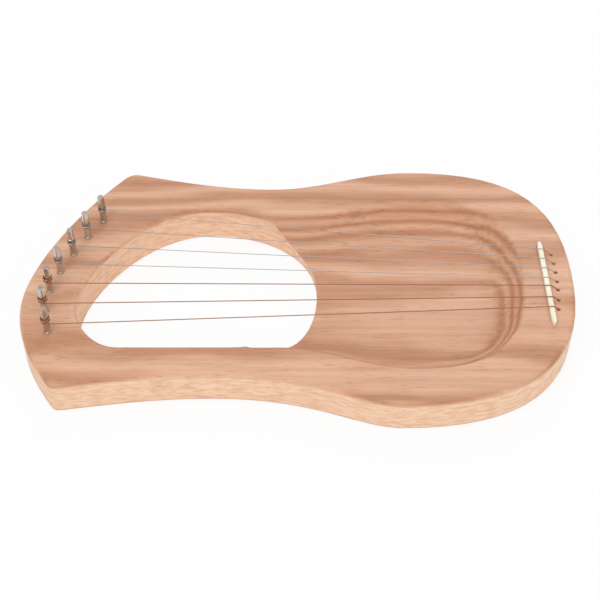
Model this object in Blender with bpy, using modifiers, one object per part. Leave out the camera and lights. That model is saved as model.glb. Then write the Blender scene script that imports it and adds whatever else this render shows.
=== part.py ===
"""Seven-string lyre harp, carved from one beech board and lying on its back.

Units are metres and +Z is up. +X runs from the head, where the tuning pins
stand, to the tail, where the saddle and the string holes are. The strings lie
above the face. The origin is the middle of the board's underside.

The board is cut right through on the head side. Towards the tail it is
hollowed to a thin floor, and the two shapes run into each other at the waist.
"""
import math

import bmesh
import bpy
from mathutils import Matrix, Vector

# Board
BODY_LENGTH = 0.400
BODY_WIDTH = 0.220
BODY_THICKNESS = 0.030
OUTER_ROUND = 0.003
FAR_HORN_ROUND = 0.011
NEAR_HORN_ROUND = 0.007

# Outer outline: places measured from the tail, from the head and from the axis
TAIL_OFFSET = -0.004
FAR_BULGE_FROM_TAIL = 0.116
NEAR_BULGE_FROM_TAIL = 0.127
FAR_WAIST_FROM_TAIL = 0.219
NEAR_WAIST_FROM_TAIL = 0.260
FAR_WAIST_HALF = 0.0924
NEAR_WAIST_HALF = 0.0850
FAR_HORN_FROM_HEAD = 0.0715
FAR_HORN_OUT = 0.1090
NEAR_HORN_FROM_HEAD = 0.0285
NEAR_HORN_OUT = 0.0955
HEAD_TIP_OFFSET = -0.0225

# Opening through the board, behind the strings
HEAD_RIM = 0.0402
FAR_ARM = 0.0236
NEAR_ARM = 0.0263
OPENING_LENGTH = 0.1733
OPENING_ROUND = 0.004
OPENING_LOWER_EDGE = 0.0008

# Hollow of the sound bowl
TAIL_RIM = 0.0343
FAR_RIM = 0.0274
NEAR_RIM = 0.0292
FAR_WAIST_RIM = 0.0302
NEAR_WAIST_RIM = 0.0221
FLOOR_THICKNESS = 0.0080
FLOOR_DISH = 0.0006
BOWL_LIP_ROUND = 0.004
BOWL_COVE_ROUND = 0.018
BOWL_WALL_ANGLE = math.radians(58)

# Tuning pins
PIN_COUNT = 7
PIN_DIAMETER = 0.0050
PIN_PITCH = 0.0190
PIN_FROM_EDGE = 0.0185
FIRST_PIN_FROM_NEAR_HORN = 0.0430
PIN_SHANK_HEIGHT = 0.0165
PIN_HEAD_HEIGHT = 0.0095
PIN_HEAD_ACROSS_CORNERS = 0.0053
PIN_HEAD_FLATS_LOW = 0.0043
PIN_HEAD_FLATS_TOP = 0.0039
PIN_BURIED = 0.0190
PIN_TIP_TAPER = 0.0012
PIN_EYE_DIAMETER = 0.0014
PIN_EYE_BELOW_SHOULDER = 0.0014
PIN_TURNS = (22, 64, 8, 41, 75, 30, 52)

# Saddle, a bone bar let into the face
SADDLE_LENGTH = 0.0765
SADDLE_WIDTH = 0.0037
SADDLE_HEIGHT = 0.0034
SADDLE_BURIED = 0.0030
SADDLE_FROM_TAIL = 0.0203
SADDLE_OFFSET = -0.0030
SADDLE_SLANT = math.radians(2.7)
SADDLE_TIP_LENGTH = 0.0032
SADDLE_TIP_WIDTH = 0.0020
SADDLE_CROWN = 0.0008
NOTCH_DEPTH = 0.0005

# Strings, and their holes in the tail
WOUND_COUNT = 3
WOUND_DIAMETER = 0.0008
PLAIN_DIAMETER = 0.0005
NOTCH_PITCH = 0.0091
NOTCH_MIDDLE = 0.0004
THIRD_NOTCH_SHIFT = 0.0015
HOLE_PITCH = 0.0086
HOLE_MIDDLE = -0.0008
THIRD_HOLE_SHIFT = 0.0008
HOLE_DIAMETER = 0.0030
HOLE_FROM_TAIL = 0.0121
HOLE_ARC_RADIUS = 0.200
STRING_LEAVES_PIN_AT = 0.0123
WINDING_TURNS = 3
WINDING_CLEAR = 0.00045
BEND_ROUND = 0.0015

# Ball ends, in pockets on the back
BALL_DIAMETER = 0.0038
BALL_WIDTH = 0.0032
BALL_GROOVE = 0.0005
BALL_BORE = 0.0016
POCKET_DEPTH = 0.0080
POCKET_CLEARANCE = 0.0004

# Gap between pieces that touch
FIT = 0.0003

# Steps along curved shapes
LOOP_POINTS = 24
OUTLINE_STEPS = 16
ROUND_SEGMENTS = 24

HEAD_X = -BODY_LENGTH / 2
TAIL_X = BODY_LENGTH / 2
FACE_Z = BODY_THICKNESS
PIN_TOP = PIN_SHANK_HEIGHT + PIN_HEAD_HEIGHT


def clear_scene():
    for old in list(bpy.data.objects):
        bpy.data.objects.remove(old, do_unlink=True)


def new_collection(name):
    made = bpy.data.collections.new(name)
    bpy.context.scene.collection.children.link(made)
    return made


def material(name, colour, roughness, metallic):
    made = bpy.data.materials.new(name)
    made.use_nodes = True
    shader = made.node_tree.nodes["Principled BSDF"]
    shader.inputs["Base Color"].default_value = (*colour, 1.0)
    shader.inputs["Roughness"].default_value = roughness
    shader.inputs["Metallic"].default_value = metallic
    made.diffuse_color = (*colour, 1.0)
    return made


def heading(degrees):
    return Vector((math.cos(math.radians(degrees)), math.sin(math.radians(degrees))))


def bezier(start, start_handle, end_handle, end, steps):
    """Points from start up to, but not including, end."""
    points = []
    for i in range(steps):
        t = i / steps
        s = 1 - t
        points.append(
            start * s**3 + start_handle * 3 * s * s * t + end_handle * 3 * s * t * t + end * t**3
        )
    return points


def closed_curve(stations, steps):
    """Smooth closed outline through stations of (x, y, heading in, heading out, reach in, reach out)."""
    points = []
    for here, after in zip(stations, stations[1:] + stations[:1]):
        start = Vector(here[:2])
        end = Vector(after[:2])
        start_handle = start + heading(here[3]) * here[5]
        end_handle = end - heading(after[2]) * after[4]
        points += bezier(start, start_handle, end_handle, end, steps)
    return points


def round_corner(points, corner, radius, steps):
    """Replaces the corner of a closed outline by an arc tangent to its two sides."""
    count = len(points)
    apex = points[corner]
    back = (points[corner - 1] - apex).normalized()
    ahead = (points[(corner + 1) % count] - apex).normalized()
    half = math.acos(max(-1, min(1, back.dot(ahead)))) / 2
    reach = radius / math.tan(half)
    centre = apex + (back + ahead).normalized() * radius / math.sin(half)
    first = apex + back * reach - centre
    last = apex + ahead * reach - centre
    start = math.atan2(first.y, first.x)
    sweep = math.atan2(last.y, last.x) - start
    sweep = (sweep + math.pi) % (2 * math.pi) - math.pi
    arc = [
        centre + Vector((math.cos(start + sweep * i / steps), math.sin(start + sweep * i / steps))) * radius
        for i in range(steps + 1)
    ]
    kept = [
        (i, p) for i, p in enumerate(points)
        if i != corner and (p - apex).length > reach * 1.05
    ]
    before = [p for i, p in kept if i < corner]
    after = [p for i, p in kept if i > corner]
    return before + arc + after


def offset_outline(points, distance):
    """Moves a closed counterclockwise outline outwards, or inwards where distance is negative."""
    moved = []
    count = len(points)
    for i, here in enumerate(points):
        before = (here - points[i - 1]).normalized()
        after = (points[(i + 1) % count] - here).normalized()
        out_before = Vector((before.y, -before.x))
        out_after = Vector((after.y, -after.x))
        mean = (out_before + out_after).normalized()
        moved.append(here + mean * distance / max(0.5, mean.dot(out_before)))
    return moved


def head_stations():
    """The two horns and the tip of the head between them."""
    far = (HEAD_X + FAR_HORN_FROM_HEAD, FAR_HORN_OUT, 167, -136.5, 0.033, 0.046)
    tip = (HEAD_X, HEAD_TIP_OFFSET, -90, -90, 0.037, 0.027)
    near = (HEAD_X + NEAR_HORN_FROM_HEAD, -NEAR_HORN_OUT, -54, 8, 0.028, 0.040)
    return far, tip, near


def body_outline():
    far, tip, near = head_stations()
    half = BODY_WIDTH / 2
    stations = [
        (TAIL_X, TAIL_OFFSET, 90, 90, 0.073, 0.076),
        (TAIL_X - FAR_BULGE_FROM_TAIL, half, 180, 180, 0.088, 0.037),
        (TAIL_X - FAR_WAIST_FROM_TAIL, FAR_WAIST_HALF, 180, 180, 0.037, 0.040),
        far,
        tip,
        near,
        (TAIL_X - NEAR_WAIST_FROM_TAIL, -NEAR_WAIST_HALF, 0, 0, 0.042, 0.073),
        (TAIL_X - NEAR_BULGE_FROM_TAIL, -half, 0, 0, 0.032, 0.083),
    ]
    points = closed_curve(stations, OUTLINE_STEPS)
    near_corner = 5 * OUTLINE_STEPS
    far_corner = 3 * OUTLINE_STEPS
    points = round_corner(points, near_corner, NEAR_HORN_ROUND, 6)
    return round_corner(points, far_corner, FAR_HORN_ROUND, 6)


def opening_outline():
    """Wall of the opening. The near side is straight, under the lowest string."""
    left = HEAD_X + HEAD_RIM
    right = left + OPENING_LENGTH
    far = FAR_WAIST_HALF - FAR_ARM
    near = -NEAR_WAIST_HALF + NEAR_ARM
    stations = [
        (right, 0.006, 90, 90, 0.040, 0.043),
        (left + 0.094, far, 180, 180, 0.037, 0.052),
        (left, -0.0242, -90, -90, 0.031, 0.0125),
        (left + 0.032, near, 0, 0, 0.019, 0.025),
        (right - 0.063, near, 0, 0, 0.020, 0.044),
    ]
    return closed_curve(stations, OUTLINE_STEPS)


def bowl_outline():
    """Upper edge of the hollow. Its head end lies inside the opening, where no wood is left."""
    right = TAIL_X - TAIL_RIM
    far = BODY_WIDTH / 2 - FAR_RIM
    near = -BODY_WIDTH / 2 + NEAR_RIM
    far_waist = FAR_WAIST_HALF - FAR_WAIST_RIM
    near_waist = -NEAR_WAIST_HALF + NEAR_WAIST_RIM
    stations = [
        (right, 0.003, 90, 90, 0.056, 0.047),
        (TAIL_X - 0.106, far, 180, 180, 0.049, 0.0565),
        (TAIL_X - 0.211, far_waist, 180, 180, 0.052, 0.026),
        (TAIL_X - 0.264, 0.004, -90, -90, 0.036, 0.040),
        (TAIL_X - 0.232, near_waist, 0, 0, 0.018, 0.008),
        (TAIL_X - 0.212, near_waist, 0, 0, 0.008, 0.040),
        (TAIL_X - 0.114, near, 0, 0, 0.045, 0.0565),
    ]
    return closed_curve(stations, OUTLINE_STEPS)


def flat_curve(name, points, half_height, z, bevel=0.0, bevel_steps=0):
    """A flat closed outline with thickness, and rounded edges where bevel is given."""
    curve = bpy.data.curves.new(name, "CURVE")
    curve.dimensions = "2D"
    curve.fill_mode = "BOTH"
    curve.extrude = half_height - bevel
    curve.bevel_depth = bevel
    curve.bevel_resolution = bevel_steps
    curve.offset = -bevel
    spline = curve.splines.new("POLY")
    spline.points.add(len(points) - 1)
    for place, p in zip(spline.points, points):
        place.co = (p.x, p.y, 0, 1)
    spline.use_cyclic_u = True
    made = bpy.data.objects.new(name, curve)
    made.location = (0, 0, z)
    bpy.context.scene.collection.objects.link(made)
    return made


def curve_to_mesh(made, collection):
    """Turns a curve object into a mesh object at the same place, with its caps joined on."""
    bpy.context.view_layer.update()
    graph = bpy.context.evaluated_depsgraph_get()
    mesh = bpy.data.meshes.new_from_object(made.evaluated_get(graph))
    joined = bmesh.new()
    joined.from_mesh(mesh)
    bmesh.ops.remove_doubles(joined, verts=joined.verts, dist=1e-6)
    bmesh.ops.dissolve_degenerate(joined, edges=joined.edges, dist=1e-7)
    bmesh.ops.recalc_face_normals(joined, faces=joined.faces)
    joined.to_mesh(mesh)
    joined.free()
    name = made.name
    place = made.matrix_world.copy()
    curve = made.data
    bpy.data.objects.remove(made, do_unlink=True)
    bpy.data.curves.remove(curve)
    solid = bpy.data.objects.new(name, mesh)
    solid.matrix_world = place
    collection.objects.link(solid)
    return solid


def loft(name, rings, collection):
    """A closed solid through rings of equal count, listed from the bottom up."""
    work = bmesh.new()
    layers = []
    for outline, z in rings:
        layers.append([work.verts.new((p.x, p.y, z)) for p in outline])
    count = len(layers[0])
    for lower, upper in zip(layers, layers[1:]):
        for i in range(count):
            j = (i + 1) % count
            work.faces.new((lower[i], lower[j], upper[j], upper[i]))
    work.faces.new(layers[-1])
    work.faces.new(list(reversed(layers[0])))
    bmesh.ops.recalc_face_normals(work, faces=work.faces)
    mesh = bpy.data.meshes.new(name)
    work.to_mesh(mesh)
    work.free()
    made = bpy.data.objects.new(name, mesh)
    collection.objects.link(made)
    return made


def opening_cutter(collection):
    """Straight wall with a quarter round at the face and a broken edge at the back."""
    wall = opening_outline()
    rings = [
        (offset_outline(wall, OPENING_LOWER_EDGE + 0.002), -0.002),
        (wall, OPENING_LOWER_EDGE),
        (wall, FACE_Z - OPENING_ROUND),
    ]
    steps = 4
    for i in range(1, steps + 1):
        angle = math.pi / 2 * i / steps
        flare = OPENING_ROUND * (1 - math.cos(angle))
        rise = OPENING_ROUND * math.sin(angle)
        if i == steps:
            rise += 0.00001
        rings.append((offset_outline(wall, flare), FACE_Z - OPENING_ROUND + rise))
    rings.append((offset_outline(wall, OPENING_ROUND), FACE_Z + 0.005))
    return loft("opening_cutter", rings, collection)


def bowl_profile():
    """Steps inwards and downwards from the bowl's upper edge to its floor."""
    depth = BODY_THICKNESS - FLOOR_THICKNESS - FLOOR_DISH
    angle = BOWL_WALL_ANGLE
    lip = BOWL_LIP_ROUND
    cove = BOWL_COVE_ROUND
    steps = []
    for i in range(4):
        a = angle * i / 3
        steps.append((lip * math.sin(a), lip * (1 - math.cos(a))))
    drop = depth - (lip + cove) * (1 - math.cos(angle))
    inwards = steps[-1][0] + drop / math.tan(angle)
    down = steps[-1][1] + drop
    steps.append((inwards, down))
    for i in range(1, 6):
        a = angle * (1 - i / 5)
        reach = inwards + cove * (math.sin(angle) - math.sin(a))
        sink = down + cove * (math.cos(a) - math.cos(angle))
        steps.append((reach, sink))
    reach, sink = steps[-1]
    steps.append((reach + 0.012, sink + FLOOR_DISH))
    return steps


def bowl_cutter(collection):
    edge = bowl_outline()
    rings = []
    for inwards, down in reversed(bowl_profile()):
        rings.append((offset_outline(edge, -inwards), FACE_Z - down))
    edge_ring, edge_z = rings[-1]
    rings[-1] = (edge_ring, edge_z + 0.00001)
    rings.append((edge, FACE_Z + 0.005))
    return loft("bowl_cutter", rings, collection)


def cylinder(name, radius, low, high, place, collection, segments=ROUND_SEGMENTS):
    work = bmesh.new()
    bmesh.ops.create_cone(
        work, cap_ends=True, segments=segments, radius1=radius, radius2=radius, depth=high - low
    )
    mesh = bpy.data.meshes.new(name)
    work.to_mesh(mesh)
    work.free()
    made = bpy.data.objects.new(name, mesh)
    made.location = (place.x, place.y, (low + high) / 2)
    collection.objects.link(made)
    return made


def cut(target, cutter):
    made = target.modifiers.new("cut_" + cutter.name, "BOOLEAN")
    made.operation = "DIFFERENCE"
    made.solver = "EXACT"
    made.object = cutter
    cutter.hide_render = True
    cutter.display_type = "WIRE"


def apply_modifiers(made):
    """Replaces an object's mesh by its evaluated one, so that copies can share it."""
    bpy.context.view_layer.update()
    graph = bpy.context.evaluated_depsgraph_get()
    mesh = bpy.data.meshes.new_from_object(made.evaluated_get(graph))
    made.modifiers.clear()
    made.data = mesh


def smooth(made, degrees=35):
    made.data.shade_smooth()
    made.data.set_sharp_from_angle(angle=math.radians(degrees))


def pin_places():
    """Pins stand at equal steps on a line that keeps one distance to the head's edge."""
    far, tip, near = head_stations()
    edge = []
    for here, after in ((far, tip), (tip, near)):
        start = Vector(here[:2])
        end = Vector(after[:2])
        start_handle = start + heading(here[3]) * here[5]
        end_handle = end - heading(after[2]) * after[4]
        edge += bezier(start, start_handle, end_handle, end, 60)
    edge.append(Vector(near[:2]))
    line = []
    for before, after in zip(edge, edge[1:]):
        along = (after - before).normalized()
        line.append((before + after) / 2 + Vector((-along.y, along.x)) * PIN_FROM_EDGE)
    line.reverse()
    places = []
    travelled = 0.0
    wanted = FIRST_PIN_FROM_NEAR_HORN
    for before, after in zip(line, line[1:]):
        step = (after - before).length
        while len(places) < PIN_COUNT and travelled + step >= wanted:
            places.append(before.lerp(after, (wanted - travelled) / step))
            wanted += PIN_PITCH
        travelled += step
    return places


def spread(index, pitch, middle, third_shift):
    """Place across the board of one string's notch or hole, from the near side."""
    place = middle + pitch * (index - (PIN_COUNT - 1) / 2)
    if index == 2:
        place += third_shift
    return place


def string_radius(index):
    if index < WOUND_COUNT:
        return WOUND_DIAMETER / 2
    return PLAIN_DIAMETER / 2


def saddle_frame():
    place = Matrix.Translation((TAIL_X - SADDLE_FROM_TAIL, SADDLE_OFFSET, FACE_Z))
    return place @ Matrix.Rotation(SADDLE_SLANT, 4, "Z")


def notch_place(index):
    """Middle of the string where it crosses the saddle."""
    across = spread(index, NOTCH_PITCH, NOTCH_MIDDLE, THIRD_NOTCH_SHIFT) - SADDLE_OFFSET
    height = SADDLE_HEIGHT - NOTCH_DEPTH + FIT + string_radius(index)
    return saddle_frame() @ Vector((0, across / math.cos(SADDLE_SLANT), height))


def hole_place(index):
    across = spread(index, HOLE_PITCH, HOLE_MIDDLE, THIRD_HOLE_SHIFT)
    bow = HOLE_ARC_RADIUS - math.sqrt(HOLE_ARC_RADIUS**2 - (across - HOLE_MIDDLE) ** 2)
    return Vector((TAIL_X - HOLE_FROM_TAIL - bow, across))


def saddle_outline(extra):
    """Bar with its two ends tapered to blunt points."""
    half = SADDLE_WIDTH / 2 + extra
    tip = SADDLE_TIP_WIDTH / 2 + extra
    end = SADDLE_LENGTH / 2 + extra
    shoulder = SADDLE_LENGTH / 2 - SADDLE_TIP_LENGTH
    right = [(half, -shoulder), (half, shoulder), (tip, end)]
    left = [(-tip, end), (-half, shoulder), (-half, -shoulder)]
    ends = [(-tip, -end), (tip, -end)]
    return [Vector(p) for p in right + left + ends]


def make_saddle(parts, cutters, bone):
    half = (SADDLE_HEIGHT + SADDLE_BURIED) / 2
    bar = flat_curve("saddle", saddle_outline(0.0), half, 0)
    bar.matrix_world = saddle_frame() @ Matrix.Translation((0, 0, SADDLE_HEIGHT - half))
    bar = curve_to_mesh(bar, parts)
    work = bmesh.new()
    work.from_mesh(bar.data)
    bmesh.ops.dissolve_limit(work, angle_limit=math.radians(1), verts=work.verts, edges=work.edges)
    top = [e for e in work.edges if all(v.co.z > half * 0.99 for v in e.verts)]
    bmesh.ops.bevel(work, geom=top, offset=SADDLE_CROWN, segments=3, profile=0.5, affect="EDGES")
    work.to_mesh(bar.data)
    work.free()
    for index in range(PIN_COUNT):
        groove = cylinder(
            f"notch_cutter_{index + 1}", string_radius(index) + FIT, -0.006, 0.006,
            Vector((0, 0)), cutters, 16,
        )
        aim = saddle_frame().to_3x3() @ Vector((1, 0, 0))
        turn = Vector((0, 0, 1)).rotation_difference(aim).to_matrix().to_4x4()
        groove.matrix_world = Matrix.Translation(notch_place(index)) @ turn
        cut(bar, groove)
    bar.data.materials.clear()
    bar.data.materials.append(bone)
    return bar


def make_body(parts, cutters, wood, pins):
    board = flat_curve("harp_body", body_outline(), BODY_THICKNESS / 2, BODY_THICKNESS / 2, OUTER_ROUND, 2)
    board = curve_to_mesh(board, parts)
    cut(board, bowl_cutter(cutters))
    cut(board, opening_cutter(cutters))
    for index, place in enumerate(pins):
        bore = cylinder(
            f"pin_bore_{index + 1}", PIN_DIAMETER / 2 + FIT,
            FACE_Z - PIN_BURIED - 3 * FIT, FACE_Z + 0.002, place, cutters,
        )
        cut(board, bore)
    pocket_radius = math.hypot(BALL_DIAMETER, BALL_WIDTH) / 2 + POCKET_CLEARANCE
    slot = flat_curve("saddle_slot", saddle_outline(FIT), SADDLE_BURIED / 2 + FIT / 2 + 0.001, 0)
    slot.matrix_world = saddle_frame() @ Matrix.Translation((0, 0, 0.001 - (SADDLE_BURIED + FIT) / 2))
    cut(board, curve_to_mesh(slot, cutters))
    for index in range(PIN_COUNT):
        place = hole_place(index)
        number = index + 1
        pocket = cylinder(
            f"ball_pocket_{number}", pocket_radius, -0.002, POCKET_DEPTH,
            place, cutters,
        )
        hole = cylinder(
            f"string_hole_{number}", HOLE_DIAMETER / 2, -0.004, FACE_Z + 0.002, place, cutters, 16
        )
        cut(board, pocket)
        cut(board, hole)
    board.data.materials.clear()
    board.data.materials.append(wood)
    smooth(board)
    return board


def turned(name, profile, collection, segments):
    """A round piece from a profile of (radius, height), listed from the top down."""
    mesh = bpy.data.meshes.new(name)
    mesh.from_pydata([(r, 0, z) for r, z in profile], [(i, i + 1) for i in range(len(profile) - 1)], [])
    made = bpy.data.objects.new(name, mesh)
    collection.objects.link(made)
    screw = made.modifiers.new("turn", "SCREW")
    screw.steps = segments
    screw.render_steps = segments
    screw.use_merge_vertices = True
    screw.merge_threshold = 0.00001
    return made


def make_pin_mesh(parts, cutters, nickel):
    """Round shank with an eye for the string, under a tapered square head. Its face is at z = 0."""
    shank = PIN_DIAMETER / 2
    corner = PIN_HEAD_ACROSS_CORNERS / 2
    shoulder = PIN_SHANK_HEIGHT
    step = 0.0004
    profile = [
        (0, PIN_TOP),
        (corner * 0.80, PIN_TOP),
        (corner * 0.93, PIN_TOP - step),
        (corner, shoulder + 2 * step),
        (shank, shoulder),
        (shank, -PIN_BURIED + PIN_TIP_TAPER),
        (shank - PIN_TIP_TAPER / 2, -PIN_BURIED),
        (0, -PIN_BURIED),
    ]
    pin = turned("tuning_pin_1", profile, parts, ROUND_SEGMENTS)
    tilt = math.atan((PIN_HEAD_FLATS_LOW - PIN_HEAD_FLATS_TOP) / 2 / PIN_HEAD_HEIGHT)
    block = PIN_DIAMETER
    for side in range(4):
        work = bmesh.new()
        bmesh.ops.create_cube(work, size=1.0)
        bmesh.ops.scale(work, vec=(block, 3 * block, PIN_HEAD_HEIGHT + 0.002), verts=work.verts)
        mesh = bpy.data.meshes.new(f"flat_cutter_{side + 1}")
        work.to_mesh(mesh)
        work.free()
        flat = bpy.data.objects.new(mesh.name, mesh)
        cutters.objects.link(flat)
        foot = Matrix.Translation((PIN_HEAD_FLATS_LOW / 2, 0, shoulder + step))
        lean = Matrix.Rotation(-tilt, 4, "Y")
        block_up = Matrix.Translation((block / 2, 0, (PIN_HEAD_HEIGHT + 0.002) / 2))
        flat.matrix_world = Matrix.Rotation(math.pi / 2 * side, 4, "Z") @ foot @ lean @ block_up
        cut(pin, flat)
    eye = cylinder("eye_cutter", PIN_EYE_DIAMETER / 2, -0.004, 0.004, Vector((0, 0)), cutters, 12)
    low = Matrix.Translation((0, 0, shoulder - PIN_EYE_BELOW_SHOULDER))
    eye.matrix_world = low @ Matrix.Rotation(math.pi / 2, 4, "Y")
    cut(pin, eye)
    apply_modifiers(pin)
    pin.data.materials.clear()
    pin.data.materials.append(nickel)
    smooth(pin)
    return pin


def make_pins(parts, cutters, nickel, pins):
    first = make_pin_mesh(parts, cutters, nickel)
    for index, place in enumerate(pins):
        pin = first
        if index:
            pin = bpy.data.objects.new(f"tuning_pin_{index + 1}", first.data)
            parts.objects.link(pin)
        pin.location = (place.x, place.y, FACE_Z)
        pin.rotation_euler = (0, 0, math.radians(PIN_TURNS[index % len(PIN_TURNS)]))


def rounded_route(points, radius, steps):
    """Open route whose inner corners are arcs."""
    route = [points[0]]
    for before, apex, after in zip(points, points[1:], points[2:]):
        back = (before - apex).normalized()
        ahead = (after - apex).normalized()
        half = back.angle(ahead) / 2
        reach = min(radius / math.tan(half), 0.45 * min((before - apex).length, (after - apex).length))
        size = reach * math.tan(half)
        centre = apex + (back + ahead).normalized() * size / math.sin(half)
        first = (apex + back * reach - centre).normalized()
        last = (apex + ahead * reach - centre).normalized()
        for i in range(steps + 1):
            route.append(centre + first.slerp(last, i / steps) * size)
    route.append(points[-1])
    return route


def winding(index, axis):
    """Loops round the pin, from the end at its eye down to where the string leaves it."""
    radius = PIN_DIAMETER / 2 + FIT + string_radius(index)
    pitch = 2 * string_radius(index) + WINDING_CLEAR
    notch = notch_place(index)
    away = Vector((notch.x - axis.x, notch.y - axis.y))
    leave = math.atan2(away.y, away.x) - math.acos(radius / away.length)
    count = WINDING_TURNS * LOOP_POINTS
    loops = []
    for i in range(count + 1):
        part = 1 - i / count
        angle = leave - 2 * math.pi * WINDING_TURNS * part
        height = FACE_Z + STRING_LEAVES_PIN_AT + pitch * WINDING_TURNS * part
        loops.append(Vector((
            axis.x + radius * math.cos(angle), axis.y + radius * math.sin(angle), height
        )))
    return loops


def string_route(index, axis):
    radius = string_radius(index)
    loops = winding(index, axis)
    notch = notch_place(index)
    hole = hole_place(index)
    past_saddle = notch + (notch - loops[-1]).normalized() * SADDLE_WIDTH / 2
    wall = Vector((hole.x, hole.y)) - Vector((past_saddle.x, past_saddle.y))
    wall = wall.normalized() * (HOLE_DIAMETER / 2 - FIT - radius - 0.0002)
    mouth = Vector((hole.x - wall.x, hole.y - wall.y, FACE_Z + radius))
    down = Vector((hole.x - wall.x * 0.6, hole.y - wall.y * 0.6, FACE_Z - 0.006))
    ball_top = POCKET_DEPTH - FIT - BALL_GROOVE
    low = Vector((hole.x, hole.y, ball_top + FIT))
    above = Vector((hole.x, hole.y, POCKET_DEPTH + 0.004))
    straight = rounded_route([loops[-1], past_saddle, mouth, down, above, low], BEND_ROUND, 3)
    return loops + straight[1:]


def make_string(index, axis, parts, metal):
    name = f"string_{index + 1}"
    route = string_route(index, axis)
    curve = bpy.data.curves.new(name, "CURVE")
    curve.dimensions = "3D"
    curve.bevel_depth = string_radius(index)
    curve.bevel_resolution = 1
    curve.use_fill_caps = True
    spline = curve.splines.new("POLY")
    spline.points.add(len(route) - 1)
    for place, p in zip(spline.points, route):
        place.co = (*p, 1)
    made = bpy.data.objects.new(name, curve)
    curve.materials.append(metal)
    parts.objects.link(made)
    return made


def least_self_gap(index, axis):
    """Least clear distance between two turns of one winding, measured on its points."""
    loops = winding(index, axis)
    least = 1.0
    for i, here in enumerate(loops):
        for there in loops[i + LOOP_POINTS // 2:]:
            least = min(least, (here - there).length)
    return least - 2 * string_radius(index)


def make_ball(parts, brass):
    """Grooved ring that the string's end is looped round, lying across its pocket."""
    outer = BALL_DIAMETER / 2
    groove = outer - BALL_GROOVE
    bore = BALL_BORE / 2
    half = BALL_WIDTH / 2
    profile = [
        (bore, half),
        (outer, half),
        (outer, half * 0.55),
        (groove, half * 0.3),
        (groove, -half * 0.3),
        (outer, -half * 0.55),
        (outer, -half),
        (bore, -half),
        (bore, half),
    ]
    ball = turned("string_ball_1", profile, parts, 20)
    apply_modifiers(ball)
    ball.data.materials.clear()
    ball.data.materials.append(brass)
    smooth(ball)
    return ball


def make_balls(parts, brass):
    first = make_ball(parts, brass)
    for index in range(PIN_COUNT):
        ball = first
        if index:
            ball = bpy.data.objects.new(f"string_ball_{index + 1}", first.data)
            parts.objects.link(ball)
        place = hole_place(index)
        ball.location = (place.x, place.y, POCKET_DEPTH - FIT - BALL_DIAMETER / 2)
        ball.rotation_euler = (math.pi / 2, 0, 0)


def main():
    clear_scene()
    parts = new_collection("lyre_harp")
    cutters = new_collection("cutters")
    beech = material("beech", (0.630, 0.342, 0.208), 0.50, 0.0)
    nickel = material("nickel", (0.62, 0.60, 0.57), 0.22, 1.0)
    bone = material("bone", (0.90, 0.85, 0.73), 0.45, 0.0)
    bronze = material("bronze_wound", (0.60, 0.33, 0.22), 0.35, 1.0)
    steel = material("plain_steel", (0.55, 0.55, 0.55), 0.28, 1.0)
    brass = material("brass", (0.78, 0.57, 0.25), 0.30, 1.0)
    pins = pin_places()
    make_body(parts, cutters, beech, pins)
    make_saddle(parts, cutters, bone)
    make_pins(parts, cutters, nickel, pins)
    make_balls(parts, brass)
    for index, axis in enumerate(pins):
        make_string(index, axis, parts, bronze if index < WOUND_COUNT else steel)
        gap = least_self_gap(index, axis) * 1000
        print(f"string_{index + 1}: least gap between its turns {gap:.2f} mm")


main()
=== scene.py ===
import math

import bpy
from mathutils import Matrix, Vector


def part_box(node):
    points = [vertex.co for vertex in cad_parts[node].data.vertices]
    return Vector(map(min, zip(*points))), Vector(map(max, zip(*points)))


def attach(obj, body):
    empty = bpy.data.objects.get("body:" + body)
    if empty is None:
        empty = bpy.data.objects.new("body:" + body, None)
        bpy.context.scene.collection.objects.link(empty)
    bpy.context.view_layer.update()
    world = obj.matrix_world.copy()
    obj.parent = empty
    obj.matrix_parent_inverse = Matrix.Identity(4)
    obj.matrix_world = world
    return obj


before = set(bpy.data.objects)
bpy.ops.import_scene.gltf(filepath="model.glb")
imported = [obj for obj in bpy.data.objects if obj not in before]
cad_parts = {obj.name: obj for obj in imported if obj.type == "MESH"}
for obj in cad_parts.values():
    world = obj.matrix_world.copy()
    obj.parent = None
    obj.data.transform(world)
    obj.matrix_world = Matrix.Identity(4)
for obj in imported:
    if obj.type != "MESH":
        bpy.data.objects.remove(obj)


def note_size():
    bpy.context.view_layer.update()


note_size()

# Camera, measured from the photograph
CAMERA_PLACE = (0.0009, -0.6878, 0.8571)
CAMERA_ELEVATION = math.radians(51)
CAMERA_CLIP_START = 0.01
FOCAL_PIXELS = 1480
IMAGE_PIXELS = 600
SENSOR_WIDTH = 36.0

# Pins and strings: the first strings are wound, the others plain
PIN_COUNT = 7
WOUND_COUNT = 3
FACE_Z = 0.030

# Bands across the strings: how far the wave's coordinate runs in a metre along X
WOUND_BANDS = 22000
PLAIN_BANDS = 900

# Rings that stand for the last turns of a pin's thread
THREAD_TURNS = 3
THREAD_STEP = 0.00055
THREAD_LIFT = 0.00025
THREAD_RADIUS = 0.00250
THREAD_RIDGE_RADIUS = 0.00017
THREAD_SEGMENTS = 32
THREAD_SIDES = 6

# Floor and surroundings
FLOOR_SIZE = 6.0
FLOOR_DROP = 0.0006
FLOOR_WHITE_SHARE = 0.90
WORLD_STRENGTH = 0.62

WHITE = (1, 1, 1, 1)
BLACK = (0, 0, 0, 1)


def linear(red, green, blue):
    """Scene-linear colour of an sRGB one whose values run from 0 to 255."""
    parts = []
    for value in (red, green, blue):
        s = value / 255
        parts.append(s / 12.92 if s <= 0.04045 else ((s + 0.055) / 1.055) ** 2.4)
    return (*parts, 1.0)


def darker(colour, share):
    return (*(part * share for part in colour[:3]), 1)


def grey(value):
    return (value, value, value, 1)


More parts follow.
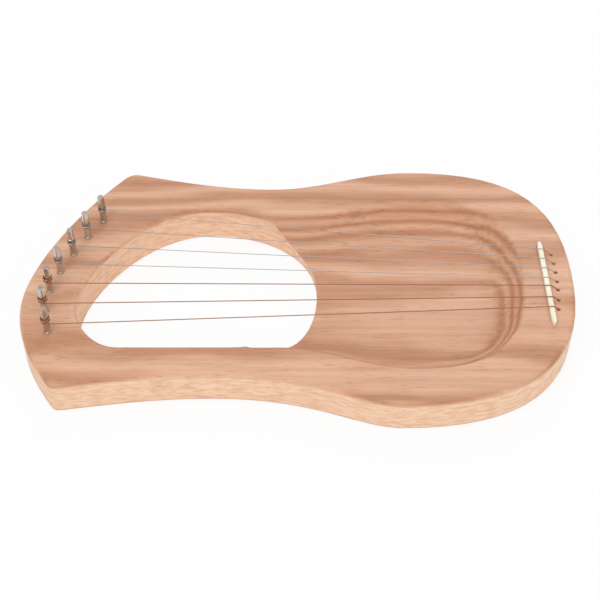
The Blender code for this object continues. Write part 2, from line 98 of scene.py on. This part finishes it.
class Tree:
    """Short names for the nodes of one material."""

    def __init__(self, name):
        self.material = bpy.data.materials.new(name)
        self.material.use_nodes = True
        self.nodes = self.material.node_tree.nodes
        self.links = self.material.node_tree.links
        self.shader = self.nodes["Principled BSDF"]

    def add(self, kind, **values):
        made = self.nodes.new(kind)
        for key, value in values.items():
            setattr(made, key, value)
        return made

    def link(self, source, target):
        self.links.new(source, target)

    def place(self, scale, turn=(0, 0, 0), shift=(0, 0, 0)):
        """Object coordinates, scaled so that one unit is 1 / scale metres."""
        where = self.add("ShaderNodeTexCoord")
        mapping = self.add("ShaderNodeMapping")
        mapping.inputs["Scale"].default_value = scale
        mapping.inputs["Rotation"].default_value = turn
        mapping.inputs["Location"].default_value = shift
        self.link(where.outputs["Object"], mapping.inputs["Vector"])
        return mapping.outputs["Vector"]

    def noise(self, scale, detail=3.0, roughness=0.55):
        """Noise over the object, whose size along each axis is about 1 / scale metres."""
        made = self.add("ShaderNodeTexNoise")
        made.inputs["Scale"].default_value = 1.0
        made.inputs["Detail"].default_value = detail
        made.inputs["Roughness"].default_value = roughness
        self.link(self.place(scale), made.inputs["Vector"])
        return made.outputs["Fac"]

    def math(self, operation, first, second=0):
        made = self.add("ShaderNodeMath", operation=operation)
        for socket, value in zip(made.inputs, (first, second)):
            if isinstance(value, (int, float)):
                socket.default_value = value
            else:
                self.link(value, socket)
        return made.outputs[0]

    def ramp(self, factor, stops):
        made = self.add("ShaderNodeValToRGB")
        elements = made.color_ramp.elements
        while len(elements) < len(stops):
            elements.new(0.5)
        for element, (place, colour) in zip(elements, stops):
            element.position = place
            element.color = colour
        self.link(factor, made.inputs["Fac"])
        return made.outputs["Color"]

    def mix(self, factor, first, second, blend="MIX"):
        """Two colours mixed. The node keeps its colour sockets at inputs 6 and 7 and output 2."""
        made = self.add("ShaderNodeMix", data_type="RGBA", blend_type=blend)
        sockets = (made.inputs[0], made.inputs[6], made.inputs[7])
        for socket, value in zip(sockets, (factor, first, second)):
            if isinstance(value, (int, float, tuple)):
                socket.default_value = value
            else:
                self.link(value, socket)
        return made.outputs[2]

    def bump(self, height, strength, distance):
        made = self.add("ShaderNodeBump")
        made.inputs["Strength"].default_value = strength
        made.inputs["Distance"].default_value = distance
        self.link(height, made.inputs["Height"])
        self.link(made.outputs["Normal"], self.shader.inputs["Normal"])

    def surface(self, name, value):
        """Set one of the shader's sockets, to a value or to another node's output."""
        socket = self.shader.inputs[name]
        if isinstance(value, (int, float, tuple)):
            socket.default_value = value
        else:
            self.link(value, socket)


def growth_rings(tree):
    """Tone of the rings, which run round a long axis under the board, with a slow noise in it."""
    rings = tree.add("ShaderNodeTexWave", wave_type="RINGS", rings_direction="X", wave_profile="SIN")
    rings.inputs["Scale"].default_value = 26.0
    rings.inputs["Distortion"].default_value = 5.0
    rings.inputs["Detail"].default_value = 2.0
    rings.inputs["Detail Scale"].default_value = 1.2
    where = tree.place((0.25, 1.0, 1.6), turn=(0, 0.05, 0.03), shift=(0, 0.02, 0.11))
    tree.link(where, rings.inputs["Vector"])
    slow = tree.noise((2.2, 9, 9), detail=2.0)
    ring_share = tree.math("MULTIPLY", rings.outputs["Fac"], 0.55)
    slow_share = tree.math("MULTIPLY", slow, 0.45)
    return tree.math("ADD", ring_share, slow_share)


def beech_face(tree, streak, fleck):
    """The sawn face: growth rings under long streaks and short dark flecks."""
    face = tree.ramp(growth_rings(tree), [
        (0.15, linear(226, 180, 150)),
        (0.45, linear(214, 163, 131)),
        (0.62, linear(205, 152, 119)),
        (0.85, linear(188, 133, 100)),
    ])
    streaks = tree.ramp(streak, [(0.30, (0.80, 0.76, 0.72, 1)), (0.60, (1.05, 1.04, 1.03, 1))])
    flecks = tree.ramp(fleck, [(0.30, (0.62, 0.48, 0.40, 1)), (0.41, WHITE)])
    face = tree.mix(0.75, face, streaks, "MULTIPLY")
    return tree.mix(0.50, face, flecks, "MULTIPLY")


def painted_light_side(tree):
    """The upright sides with flecks only, painted paler than the face as painted light."""
    fleck = tree.noise((110, 110, 420), roughness=0.6)
    # Paler tone than the face: painted light on the upright sides; the flecks are grain.
    return tree.ramp(fleck, [(0.30, linear(226, 178, 140)), (0.62, linear(248, 210, 180))])


def level_share(tree):
    """White where the surface faces up or down, and black where it stands upright: the mask for the
    sides' painted light.
    """
    normal = tree.add("ShaderNodeNewGeometry").outputs["Normal"]
    split = tree.add("ShaderNodeSeparateXYZ")
    tree.link(normal, split.inputs[0])
    return tree.ramp(tree.math("ABSOLUTE", split.outputs["Z"]), [(0.12, BLACK), (0.35, WHITE)])


def beech_wood():
    """Flat-sawn beech: growth rings cut into ovals by the hollow, fine flecks, and upright sides
    painted paler as painted light.
    """
    tree = Tree("beech")
    streak = tree.noise((9, 320, 320), detail=4.0, roughness=0.6)
    fleck = tree.noise((75, 900, 500), detail=2.0, roughness=0.5)
    face = beech_face(tree, streak, fleck)
    # The upright sides take the paler colour: painted light, set by the direction the surface faces.
    tree.surface("Base Color", tree.mix(level_share(tree), painted_light_side(tree), face))
    tree.surface("Roughness", tree.ramp(streak, [(0.3, grey(0.44)), (0.7, grey(0.56))]))
    tree.surface("Coat Weight", 0.10)
    tree.surface("Coat Roughness", 0.35)
    tree.bump(tree.math("ADD", streak, fleck), strength=0.18, distance=0.0003)
    return tree.material


def turned_metal(name, colour, roughness):
    """Metal with fine turning marks round it and darker clouds in its tone."""
    tree = Tree(name)
    marks = tree.noise((60, 60, 5200), detail=2.0)
    cloud = tree.noise((420, 420, 300))
    gloss = [(0.3, grey(roughness * 0.7)), (0.7, grey(roughness * 1.4))]
    tree.surface("Base Color", tree.ramp(cloud, [(0.3, darker(colour, 0.72)), (0.65, colour)]))
    tree.surface("Roughness", tree.ramp(marks, gloss))
    tree.surface("Metallic", 1.0)
    tree.bump(marks, strength=0.25, distance=0.00004)
    return tree.material


def string_metal(name, colour, roughness, bands):
    """Wire with fine bands across it: a bump, and painted shade that darkens the low part of each
    band.
    """
    tree = Tree(name)
    wave = tree.add("ShaderNodeTexWave", wave_type="BANDS", bands_direction="X", wave_profile="SIN")
    wave.inputs["Scale"].default_value = 1.0
    tree.link(tree.place((bands, 60, 60)), wave.inputs["Vector"])
    height = wave.outputs["Fac"]
    # Painted shade: the low part of each band is darkened, for the grooves between turns on the
    # wound strings.
    tree.surface("Base Color", tree.ramp(height, [(0.2, darker(colour, 0.62)), (0.8, colour)]))
    tree.surface("Roughness", roughness)
    tree.surface("Metallic", 1.0)
    tree.bump(height, strength=0.3, distance=0.00005)
    return tree.material


def bone():
    """Polished bone with faint pores along the bar."""
    tree = Tree("bone")
    pores = tree.noise((900, 120, 900))
    cloud = tree.noise((40, 25, 40), detail=2.0)
    tone = tree.ramp(cloud, [(0.3, linear(240, 229, 203)), (0.7, linear(253, 249, 238))])
    specks = tree.ramp(pores, [(0.28, (0.86, 0.80, 0.70, 1)), (0.42, WHITE)])
    tree.surface("Base Color", tree.mix(0.6, tone, specks, "MULTIPLY"))
    tree.surface("Roughness", tree.ramp(pores, [(0.3, grey(0.50)), (0.6, grey(0.34))]))
    tree.surface("Subsurface Weight", 0.15)
    tree.surface("Subsurface Radius", (0.002, 0.0015, 0.001))
    tree.bump(pores, strength=0.15, distance=0.0001)
    return tree.material


def dress(node, material):
    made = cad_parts[node]
    made.data.materials.clear()
    made.data.materials.append(material)


def pin_threads(material):
    """The last turns of each pin's fine thread, just above the wood."""
    for number in range(1, PIN_COUNT + 1):
        low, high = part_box(f"tuning_pin_{number}")
        pin_x = (low[0] + high[0]) / 2
        pin_y = (low[1] + high[1]) / 2
        for turn in range(THREAD_TURNS):
            bpy.ops.mesh.primitive_torus_add(
                location=(pin_x, pin_y, FACE_Z + THREAD_LIFT + turn * THREAD_STEP),
                major_radius=THREAD_RADIUS,
                minor_radius=THREAD_RIDGE_RADIUS,
                major_segments=THREAD_SEGMENTS,
                minor_segments=THREAD_SIDES,
            )
            ring = bpy.context.object
            ring.name = f"pin_{number}_thread_{turn + 1}"
            ring.data.shade_smooth()
            ring.data.materials.append(material)
            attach(ring, f"pin_{number}")


def pale_floor():
    """A floor that the camera sees as nearly plain white, with the object's shadow on it."""
    bpy.ops.mesh.primitive_plane_add(size=FLOOR_SIZE, location=(0, 0, -FLOOR_DROP))
    floor = bpy.context.object
    floor.name = "floor"
    tree = Tree("floor")
    tree.surface("Base Color", (0.92, 0.92, 0.92, 1))
    tree.surface("Roughness", 0.9)
    glow = tree.add("ShaderNodeEmission")
    glow.inputs["Strength"].default_value = 1.0
    blend = tree.add("ShaderNodeMixShader")
    rays = tree.add("ShaderNodeLightPath")
    white_share = tree.math("MULTIPLY", rays.outputs["Is Camera Ray"], FLOOR_WHITE_SHARE)
    tree.link(white_share, blend.inputs[0])
    tree.link(tree.shader.outputs[0], blend.inputs[1])
    tree.link(glow.outputs[0], blend.inputs[2])
    tree.link(blend.outputs[0], tree.nodes["Material Output"].inputs["Surface"])
    floor.data.materials.append(tree.material)


def surroundings():
    world = bpy.data.worlds.new("surroundings")
    world.use_nodes = True
    background = world.node_tree.nodes["Background"]
    background.inputs["Color"].default_value = WHITE
    background.inputs["Strength"].default_value = WORLD_STRENGTH
    bpy.context.scene.world = world


def area_light(name, place, size, power, colour=(1, 1, 1)):
    """A square lamp that faces the object's origin."""
    light = bpy.data.lights.new(name, "AREA")
    light.shape = "SQUARE"
    light.size = size
    light.energy = power
    light.color = colour
    made = bpy.data.objects.new(name, light)
    made.location = place
    made.rotation_euler = (-Vector(place)).to_track_quat("-Z", "Y").to_euler()
    bpy.context.scene.collection.objects.link(made)


def lights():
    area_light("key", place=(-0.5, -0.6, 1.3), size=0.7, power=7.2)
    area_light("fill", place=(0.9, -0.9, 0.7), size=0.9, power=3.4, colour=(1.0, 0.97, 0.94))
    area_light("back", place=(0.2, 1.1, 0.9), size=0.8, power=4.0)


def camera():
    lens = bpy.data.cameras.new("camera")
    lens.sensor_width = SENSOR_WIDTH
    lens.lens = FOCAL_PIXELS / IMAGE_PIXELS * SENSOR_WIDTH
    lens.clip_start = CAMERA_CLIP_START
    made = bpy.data.objects.new("camera", lens)
    made.location = CAMERA_PLACE
    made.rotation_euler = (math.pi / 2 - CAMERA_ELEVATION, 0, 0)
    bpy.context.scene.collection.objects.link(made)
    bpy.context.scene.camera = made


bpy.context.scene.view_settings.view_transform = "Standard"

nickel = turned_metal("nickel", linear(214, 208, 200), 0.20)
bronze = string_metal("bronze_wound", linear(196, 142, 118), 0.38, WOUND_BANDS)
steel = string_metal("plain_steel", linear(176, 172, 170), 0.30, PLAIN_BANDS)
brass = turned_metal("brass", linear(206, 168, 98), 0.30)
dress("harp_body", beech_wood())
dress("saddle", bone())
for number in range(1, PIN_COUNT + 1):
    dress(f"tuning_pin_{number}", nickel)
    dress(f"string_{number}", bronze if number <= WOUND_COUNT else steel)
    dress(f"string_ball_{number}", brass)
pin_threads(nickel)
pale_floor()
surroundings()
lights()
camera()

note_size()
